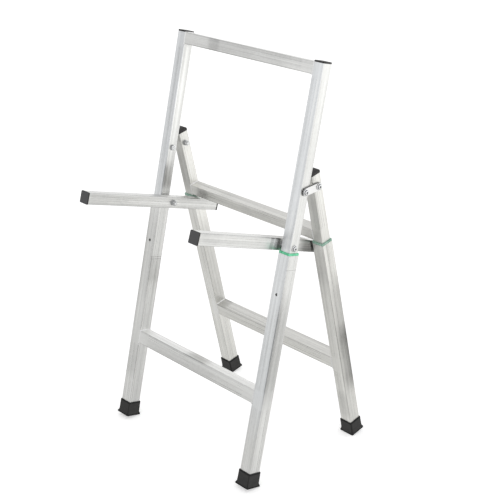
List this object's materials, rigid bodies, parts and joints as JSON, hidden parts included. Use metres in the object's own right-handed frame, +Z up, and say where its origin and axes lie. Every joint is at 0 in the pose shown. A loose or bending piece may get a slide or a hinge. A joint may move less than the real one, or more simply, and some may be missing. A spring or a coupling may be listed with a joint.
{
  "type": "folding sawhorse",
  "caption": "Folding sawhorse of square aluminium tube: tall front frame, shorter rear frame on link plates, and swinging work-rest arms on rubber feet.",
  "frame": {"origin": "on the floor under the middle of the bounding box", "axes": "+X across the horse from the left arm to the right arm, -Y the front towards which the arms reach, +Z up"},
  "size_m": [0.538, 0.5566, 1.0582],
  "materials": {
    "aluminium": "mill finish extrusion with fine lengthwise lines",
    "zinc_steel": "bright zinc plated",
    "black_plastic": "moulded, fine grain",
    "black_rubber": "moulded, matt",
    "green_plastic": "smooth",
    "grey_green_plastic": "smooth"
  },
  "bodies": {
    "front_frame": {"front_top_crossbar": "aluminium", "front_stretcher": "aluminium", "front_upper_tube_left": "aluminium", "front_lower_tube_left": "aluminium", "front_collar_left": "green_plastic", "front_pin_left": "zinc_steel", "front_cap_left": "black_plastic", "front_foot_left": "black_rubber", "front_link_bolt_left": "zinc_steel", "front_link_washer_left": "zinc_steel", "front_link_nut_left": "zinc_steel", "arm_bolt_left": "zinc_steel", "arm_spacer_left": "zinc_steel", "arm_washer_left": "zinc_steel", "arm_nut_left": "zinc_steel", "front_upper_tube_right": "aluminium", "front_lower_tube_right": "aluminium", "front_collar_right": "green_plastic", "front_pin_right": "zinc_steel", "front_cap_right": "black_plastic", "front_foot_right": "black_rubber", "front_link_bolt_right": "zinc_steel", "front_link_washer_right": "zinc_steel", "front_link_nut_right": "zinc_steel", "arm_bolt_right": "zinc_steel", "arm_spacer_right": "zinc_steel", "arm_washer_right": "zinc_steel", "arm_nut_right": "zinc_steel"},
    "links": {"link_plate_left": "aluminium", "link_plate_right": "aluminium"},
    "rear_frame": {"rear_upper_crossbar": "aluminium", "rear_stretcher": "aluminium", "rear_upper_tube_left": "aluminium", "rear_lower_tube_left": "aluminium", "rear_collar_left": "grey_green_plastic", "rear_cap_left": "black_plastic", "rear_foot_left": "black_rubber", "rear_link_bolt_left": "zinc_steel", "rear_link_washer_left": "zinc_steel", "rear_link_nut_left": "zinc_steel", "rear_upper_tube_right": "aluminium", "rear_lower_tube_right": "aluminium", "rear_collar_right": "grey_green_plastic", "rear_cap_right": "black_plastic", "rear_foot_right": "black_rubber", "rear_link_bolt_right": "zinc_steel", "rear_link_washer_right": "zinc_steel", "rear_link_nut_right": "zinc_steel"},
    "left_arm": {"arm_left": "aluminium", "arm_front_cap_left": "black_plastic", "arm_rear_cap_left": "black_plastic"},
    "right_arm": {"arm_right": "aluminium", "arm_front_cap_right": "black_plastic", "arm_rear_cap_right": "black_plastic"}
  },
  "joints": [
    {"name": "link_fold", "type": "hinge", "parent": "front_frame", "child": "links", "pos_m": [0, 0.03309, 0.75343], "axis": [1, 0, 0], "range_deg": [0, 24]},
    {"name": "rear_frame_fold", "type": "hinge", "parent": "links", "child": "rear_frame", "pos_m": [0, 0.07861, 0.75735], "axis": [1, 0, 0], "range_deg": [-48, 0]},
    {"name": "left_arm_fold", "type": "hinge", "parent": "front_frame", "child": "left_arm", "pos_m": [0, 0.00083, 0.61422], "axis": [-1, 0, 0], "range_deg": [0, 86.95]},
    {"name": "right_arm_fold", "type": "hinge", "parent": "front_frame", "child": "right_arm", "pos_m": [0, 0.00137, 0.61655], "axis": [-1, 0, 0], "range_deg": [0, 85.05]}
  ],
  "couplings": [
    {"joint": "rear_frame_fold", "follows": "link_fold", "ratio": -2}
  ]
}
